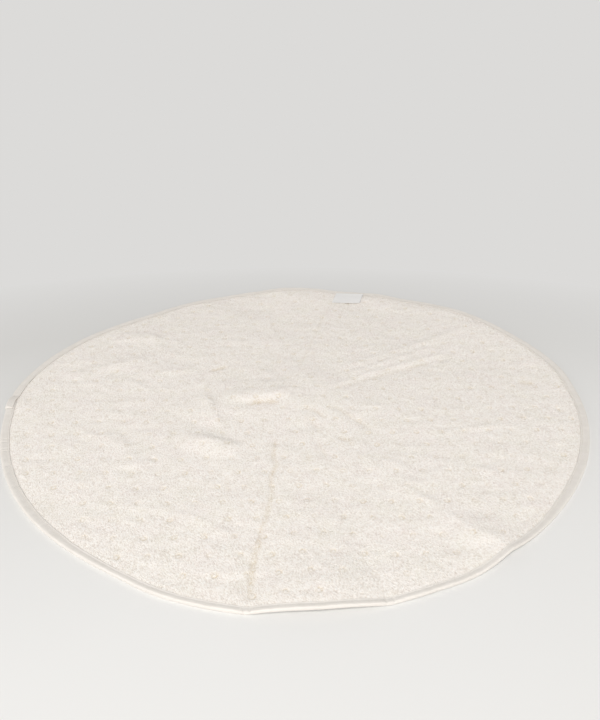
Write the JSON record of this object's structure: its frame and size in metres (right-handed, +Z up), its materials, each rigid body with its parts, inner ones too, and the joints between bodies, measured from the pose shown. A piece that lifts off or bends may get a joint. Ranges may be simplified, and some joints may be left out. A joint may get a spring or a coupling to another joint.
{
  "type": "round kitchen towel",
  "caption": "Round terry kitchen towel lying open, with soft wrinkles and pressed fold lines, an edge bound with a lapped strip, and a small bare label.",
  "frame": {"origin": "on the table, under the middle of the box round the towel's rim", "axes": "+X to the right and +Y away from the viewer as the towel lies in the picture, +Z up through the cloth"},
  "size_m": [0.7126, 0.6878, 0.0109],
  "materials": {
    "terry": "matte cream terry loops with small round dots woven in",
    "binding": "fine plain weave, beige, with one row of stitching",
    "label": "smooth white ribbon"
  },
  "bodies": {
    "root": {"cloth": "terry", "binding": "binding", "label": "label"}
  },
  "joints": []
}
